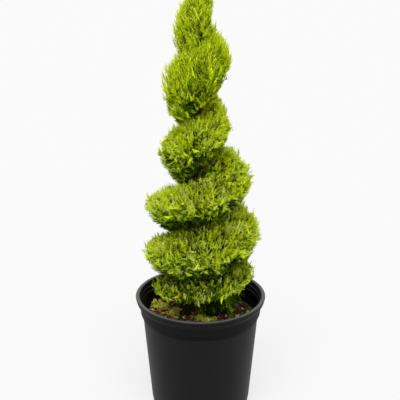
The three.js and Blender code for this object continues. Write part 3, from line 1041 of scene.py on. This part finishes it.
def ripple(angle, height, rng, waves, depth):
    """Long upright ridges for bark: a sum of waves round the trunk that wander with height."""
    total = np.zeros_like(height)
    for _ in range(waves):
        lobes = rng.integers(*RIDGE_LOBES)
        wander = rng.uniform(*RIDGE_WANDERS)
        drift = rng.uniform(*RIDGE_DRIFTS)
        total += np.sin(lobes * angle + drift * np.sin(wander * height + rng.uniform(*PHASES)))
    return depth * total / waves


def trunk_mesh(rng):
    share = np.linspace(0, 1, TRUNK_RINGS) ** RING_CROWDING
    heights = SOIL_LEVEL + share * (TRUNK_TOP - SOIL_LEVEL)
    heights[0] = SOIL_LEVEL + TRUNK_FOOT_GAP
    height, angle = np.meshgrid(heights, round_angles(TRUNK_SIDES), indexing="ij")
    relief = ripple(angle, height, rng, *RIDGES)
    relief += ripple(FINE_ROUND * angle, FINE_ALONG * height, rng, *FINE_RIDGES)
    points = round_trunk(height, trunk_radius(height) * (BARK_LEVEL + relief), angle)
    return points.reshape(-1, 3), ring_quads(TRUNK_RINGS, TRUNK_SIDES)


bark_material = material("bark", (0.16, 0.095, 0.055), 0.9, 0.2)
grain = add_bump(bark_material, 90, strength=0.6, distance=0.0006, stretch=(1, 1, 0.15), detail=6)
add_mottle(bark_material, grain, (0.050, 0.020, 0.008), (0.24, 0.10, 0.035))
bark_mesh = trunk_mesh(np.random.default_rng(TRUNK_SEED))
trunk = mesh_piece("trunk_bark", *bark_mesh, [bark_material], smooth=True)
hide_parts("trunk")
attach(trunk, "root")


# Pot


def revolve(profile, sides):
    """A closed profile of (radius, height) turned round the Z axis: points and quads."""
    radius, height = np.repeat(profile, sides, axis=0).T
    angle = np.tile(round_angles(sides), len(profile))
    points = np.stack([radius * np.cos(angle), radius * np.sin(angle), height], 1)
    return points, ring_quads(len(profile), sides)


def rounded(points):
    """The open profile with its inner corners rounded, where there is room for it."""
    points = [np.array(p, float) for p in points]
    out = [points[0]]
    for before, corner, after in zip(points, points[1:], points[2:]):
        to_before, to_after = before - corner, after - corner
        long_before, long_after = np.linalg.norm(to_before), np.linalg.norm(to_after)
        room = min(POT_ROUNDING, ROUNDED_SHARE * long_before, ROUNDED_SHARE * long_after)
        first = corner + to_before / long_before * room
        last = corner + to_after / long_after * room
        for step in range(ROUNDING_STEPS + 1):
            t = step / ROUNDING_STEPS
            out.append((1 - t) ** 2 * first + 2 * t * (1 - t) * corner + t**2 * last)
    out.append(points[-1])
    return np.array(out)


def pot_inside(height):
    climb = height / (POT_HEIGHT - BODY_TOP)
    return FOOT_RADIUS + (BODY_TOP_RADIUS - FOOT_RADIUS) * climb - POT_WALL


def rib(wall, depth):
    """The three points of a rib on the wall's inside, that far below the top."""
    level = POT_HEIGHT - depth
    return [(wall, level + RIB_HEIGHT), (wall - RIB_WIDTH, level), (wall, level - RIB_HEIGHT)]


top, lip, collar, foot = POT_HEIGHT, LIP_RADIUS, COLLAR_RADIUS, FOOT_RADIUS
floor_top = FOOT_RECESS + POT_WALL
lip_inside = lip - LIP_WIDTH - POT_WALL
collar_inside = collar - POT_WALL
profile = [
    (AXIS_GAP, FOOT_RECESS),
    (foot - FOOT_RING, FOOT_RECESS),
    (foot - FOOT_RING + FOOT_RECESS, 0),
    (foot - FOOT_BEVEL, 0),
    (foot, FOOT_BEVEL_HEIGHT),
    *((foot + flare, height) for flare, height in FOOT_STEP),
    (BODY_TOP_RADIUS, top - BODY_TOP),
    (collar, top - COLLAR_FOOT),
    (collar, top - LIP_HEIGHT - LIP_TURN),
    (lip - LIP_SLANT - LIP_TURN, top - LIP_HEIGHT),
    (lip - LIP_SLANT, top - LIP_HEIGHT + LIP_TURN),
    (lip, top - LIP_EDGE),
    (lip - LIP_EDGE, top),
    (lip - LIP_WIDTH, top),
    (lip_inside, top - LIP_TURN),
    *rib(lip_inside, RIB_DEPTHS[0]),
    (collar_inside, top - LIP_HEIGHT),
    *rib(collar_inside, RIB_DEPTHS[1]),
    (collar_inside, top - COLLAR_FOOT),
    (pot_inside(top - BODY_TOP), top - BODY_TOP),
    (pot_inside(floor_top), floor_top),
    (AXIS_GAP, floor_top),
]
PLASTIC, RIM_HIGHLIGHT, LIP_SHEEN, COLLAR_SHADE, BEND_SHADE, RIB_HIGHLIGHT = range(6)


def pot_zones(middles):
    """Which material each face of the pot has, by where its middle lies."""
    from_axis, height = np.hypot(middles[:, 0], middles[:, 1]), middles[:, 2]
    # The rim and the ribs' tops carry a painted highlight, the lip a painted sheen, and the collar
    # and the bend painted shade
    on_rim_highlight = (height > top - RIM_HEIGHT) & (from_axis > lip - RIM_WIDTH)
    on_lip_sheen = (height > top - LIP_FACE) & (from_axis > lip - LIP_WIDTH)
    from_bend = np.abs(height - (top - (BODY_TOP + COLLAR_FOOT) / 2))
    on_bend_shade = from_bend < BEND_MARGIN + (BODY_TOP - COLLAR_FOOT) / 2
    on_bend_shade &= from_axis > BODY_TOP_RADIUS - BEND_INSET
    on_collar_shade = height > top - COLLAR_FOOT
    on_rib_highlight = np.zeros(len(middles), bool)
    for depth in RIB_DEPTHS:
        above = height - (top - depth)
        on_rib_highlight |= (above > 0) & (above < RIB_HEIGHT) & (from_axis < lip_inside)
    places = [on_rim_highlight, on_lip_sheen, on_rib_highlight, on_bend_shade, on_collar_shade]
    return np.select(places, [RIM_HIGHLIGHT, LIP_SHEEN, RIB_HIGHLIGHT, BEND_SHADE, COLLAR_SHADE], PLASTIC)


# Lighter copies of the plastic paint a highlight on the rim and ribs and a sheen on the lip;
# duller copies paint shade on the collar and the bend
pot_materials = [
    material("pot_plastic", (0.0034, 0.0034, 0.0035), 0.50, 0.145),
    material("pot_rim_highlight", (0.078, 0.078, 0.078), 0.35, 0.45),
    material("pot_lip_sheen", (0.0062, 0.0062, 0.0063), 0.45, 0.22),
    material("pot_collar_shade", (0.0033, 0.0033, 0.0034), 0.55, 0.10),
    material("pot_bend_shade", (0.0033, 0.0033, 0.0034), 0.60, 0.055),
    material("pot_rib_highlight", (0.030, 0.030, 0.030), 0.40, 0.30),
]
add_bump(pot_materials[PLASTIC], 240, strength=0.08, distance=0.0004)
points, quads = revolve(rounded(profile), POT_SIDES)
zones = pot_zones(points[quads].mean(axis=1))
pot = mesh_piece("pot_shell", points, quads, pot_materials, zones, smooth=True)
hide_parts("pot")
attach(pot, "root")

# Soil

soil_radius = pot_inside(SOIL_LEVEL - SOIL_DIP) - SOIL_WALL_GAP


def dished(share):
    """The height of the compost at a share of its radius, without its lumps."""
    return SOIL_LEVEL - SOIL_DIP * share**3 - SOIL_SUNK


def soil_height(x, y):
    return dished(np.hypot(x, y) / soil_radius)


def lumps(x, y, rng, waves, size, depth):
    total = np.zeros_like(x)
    for _ in range(waves):
        angle = rng.uniform(0, 2 * math.pi)
        pitch = 2 * math.pi / (size * rng.uniform(*LUMP_SIZES))
        slant = pitch * (x * math.cos(angle) + y * math.sin(angle))
        total += np.sin(slant + rng.uniform(*PHASES))
    return depth * total / math.sqrt(waves)


def soil_mesh(rng):
    """The lumpy surface, and the sides and the floor of the filled pot beneath it."""
    rings = np.linspace(SOIL_FIRST_RING, 1, SOIL_RINGS)
    ring, angle = np.meshgrid(rings, round_angles(SOIL_SIDES), indexing="ij")
    x = ring * soil_radius * np.cos(angle)
    y = ring * soil_radius * np.sin(angle)
    z = dished(ring) + sum(lumps(x, y, rng, *layer) for layer in SOIL_LUMPS)
    surface = np.stack([x, y, z], -1)
    floor_ring = surface[-1].copy()
    floor_ring[:, :2] *= (pot_inside(floor_top) - SOIL_FLOOR_GAP) / soil_radius
    floor_ring[:, 2] = floor_top + SOIL_FLOOR_RISE
    centre_ring = floor_ring.copy()
    centre_ring[:, :2] *= SOIL_CENTRE
    grid = np.concatenate([surface, floor_ring[None], centre_ring[None]])
    return grid.reshape(-1, 3), ring_quads(len(grid), SOIL_SIDES)[:, [0, 3, 2, 1]]


rng = np.random.default_rng(SOIL_SEED)
soil_material = material("compost", (0.05, 0.03, 0.018), 0.95, 0.15)
grain = add_bump(soil_material, 300, strength=0.7, distance=0.0012, detail=8)
add_mottle(soil_material, grain, (0.018, 0.010, 0.006), (0.12, 0.065, 0.035))
soil = mesh_piece("compost", *soil_mesh(rng), [soil_material], smooth=True)
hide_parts("soil")
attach(soil, "root")


# Chips of bark: flattened lumps with uneven corners

CHIP_COLORS = {
    "chip_dark": (0.040, 0.022, 0.010),
    "chip_brown": (0.220, 0.110, 0.045),
    "chip_red": (0.380, 0.140, 0.055),
    "chip_tan": (0.620, 0.430, 0.240),
}
CHIP_DARK = 0
CUBE_BASE = ((-1, -1), (1, -1), (1, 1), (-1, 1))
CUBE = np.array([[x, y, z] for z in (-1, 1) for x, y in CUBE_BASE], float)
CUBE_QUADS = np.array(
    [[3, 2, 1, 0], [4, 5, 6, 7], [0, 1, 5, 4], [1, 2, 6, 5], [2, 3, 7, 6], [3, 0, 4, 7]]
)


def over_soil(many, wall_gap, rng):
    """Even random distances and bearings on the compost."""
    spread = np.sqrt(rng.random(many)) * (soil_radius - wall_gap)
    return spread, rng.uniform(0, 2 * math.pi, many)


def chip_mesh(rng):
    """Chips all over the compost but at the trunk: points, quads and the quads' colours."""
    spread, angle = over_soil(CHIPS, CHIP_WALL_GAP, rng)
    x, y = spread * np.cos(angle), spread * np.sin(angle)
    keep = spread > CHIP_TRUNK_GAP
    x, y = x[keep], y[keep]
    count = len(x)
    size = rng.uniform(*CHIP_LENGTHS, count) * MM
    corners = CUBE[None] * rng.uniform(*CHIP_CORNERS, (count, len(CUBE), 3))
    widths = rng.uniform(*CHIP_WIDTHS, count)
    thicknesses = rng.uniform(*CHIP_THICKNESSES, count)
    scale = size[:, None] * np.stack([np.ones(count), widths, thicknesses], 1)
    corners = corners * scale[:, None] / 2
    heading = rng.uniform(0, 2 * math.pi, count)
    tilt = rng.normal(0, CHIP_TILT, (count, 2))
    cosine, sine = np.cos(heading)[:, None], np.sin(heading)[:, None]
    px, py, pz = corners[..., 0], corners[..., 1], corners[..., 2]
    pz = pz + px * tilt[:, :1] + py * tilt[:, 1:]
    px, py = px * cosine - py * sine, px * sine + py * cosine
    centres = np.stack([x, y, soil_height(x, y) + CHIP_RISE], 1)
    points = (np.stack([px, py, pz], -1) + centres[:, None]).reshape(-1, 3)
    quads = (CUBE_QUADS[None] + len(CUBE) * np.arange(count)[:, None, None]).reshape(-1, 4)
    tones = rng.choice(len(CHIP_COLORS), count, p=CHIP_SHARES)
    # Chips in the crown's shade take the dark colour: painted shade
    shaded = (x > SHADE_FROM_X) & (rng.random(count) < (y - SHADE_FROM_Y) / SHADE_DEPTH)
    return points, quads, np.repeat(np.where(shaded, CHIP_DARK, tones), len(CUBE_QUADS))


chip_materials = plain_materials(CHIP_COLORS, 0.9, 0.2)
points, quads, colors = chip_mesh(rng)
chips = mesh_piece("bark_chips", points, quads, chip_materials, colors)
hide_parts("soil")
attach(chips, "root")


# Fallen sprigs that lie on the soil, in the same order of colours as the foliage

LITTER_COLORS = {
    "sprig_dark": (0.070, 0.070, 0.010),
    "sprig_deep": (0.150, 0.170, 0.014),
    "sprig_mid": (0.500, 0.580, 0.035),
    "sprig_light": (0.840, 0.860, 0.080),
    "sprig_pale": (0.880, 0.860, 0.280),
    "sprig_brown": (0.380, 0.240, 0.100),
    "sprig_straw": (0.800, 0.660, 0.300),
}
LITTER_TONES = [BRIGHT, HALF_BRIGHT, PLAIN, TINTED, DARK_TINTED]
LITTER_SHARES = [0.36, 0.18, 0.12, 0.16, 0.18]


def lying(middle, how_high, rng, reaches, lows, rises):
    """Sprigs that lie across the given places: their ends."""
    many = len(middle)
    heading = rng.uniform(0, 2 * math.pi, many)
    reach = rng.uniform(*reaches, many) * MM
    aim = pointing(heading) * reach[:, None]
    low = soil_height(middle[:, 0], middle[:, 1]) + rng.uniform(*lows, many) * how_high * MM
    base = np.column_stack([middle - aim, low])
    return base, np.column_stack([middle + aim, low + rng.uniform(*rises, many) * MM])


def sprig_heap(x, y, how_wide, how_high, rng):
    many = round(how_wide * HEAP_SPRIGS)
    offset = rng.normal(0, HEAP_SCATTER * how_wide * MM, (many, 2))
    return lying(np.array([x, y]) * MM + offset, how_high, rng, *HEAP_SPRIG_RANGES)


def loose_sprigs(rng):
    spread, angle = over_soil(LOOSE_SPRIGS, LOOSE_WALL_GAP * MM, rng)
    return lying(pointing(angle) * spread[:, None], 1, rng, *LOOSE_SPRIG_RANGES)


def litter(name, rng):
    parts = [sprig_heap(*heap, rng) for heap in SPRIG_HEAPS]
    parts.append(loose_sprigs(rng))
    base, tip = (np.concatenate(ends) for ends in zip(*parts))
    for ends in (base, tip):
        out = np.hypot(ends[:, 0], ends[:, 1])
        ends[:, :2] *= np.minimum(1, (soil_radius - SPRIG_WALL_GAP * MM) / out)[:, None]
    tones = rng.choice(LITTER_TONES, len(base), p=LITTER_SHARES)
    materials = plain_materials(LITTER_COLORS, 0.65, 0.06)
    return spray_piece(name, (base, tip), tones, rng, materials, stoutness=SPRIG_STOUTNESS)


sprigs = litter("fallen_sprigs", rng)
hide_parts("soil")
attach(sprigs, "root")

# Studio: a softly glowing floor and one very wide light from above and a little in front

floor_points = np.array([[-1, -1, 0], [1, -1, 0], [1, 1, 0], [-1, 1, 0]]) * FLOOR_SIZE / 2
floor_material = material("studio_floor", (0.19, 0.19, 0.191), 1.0, 0.0)
floor_shader = floor_material.node_tree.nodes["Principled BSDF"]
floor_shader.inputs["Emission Color"].default_value = (1, 1, 1, 1)
floor_shader.inputs["Emission Strength"].default_value = FLOOR_GLOW
floor = mesh_piece("studio_floor", floor_points, [[0, 1, 2, 3]], [floor_material])

world = bpy.data.worlds.new("studio")
world.use_nodes = True
background = world.node_tree.nodes["Background"]
background.inputs["Color"].default_value = (1, 1, 1, 1)
background.inputs["Strength"].default_value = WORLD_STRENGTH
bpy.context.scene.world = world

light_data = bpy.data.lights.new("overhead", "SUN")
light_data.energy = SUN_STRENGTH
light_data.angle = SUN_WIDTH
light = bpy.data.objects.new("overhead", light_data)
light.rotation_euler = (SUN_TILT, SUN_SIDEWAYS, 0)
bpy.context.scene.collection.objects.link(light)

# Camera

camera_data = bpy.data.cameras.new("photo_camera")
camera_data.sensor_width = SENSOR
camera_data.lens = FOCAL_PIXELS / IMAGE_PIXELS * SENSOR
camera_data.shift_x = SHIFT_PIXELS / IMAGE_PIXELS
camera = bpy.data.objects.new("photo_camera", camera_data)
camera.location = CAMERA_PLACE
camera.rotation_euler = (math.pi / 2 - CAMERA_PITCH, 0, 0)
bpy.context.scene.collection.objects.link(camera)
bpy.context.scene.camera = camera
bpy.context.scene.view_settings.view_transform = "Standard"
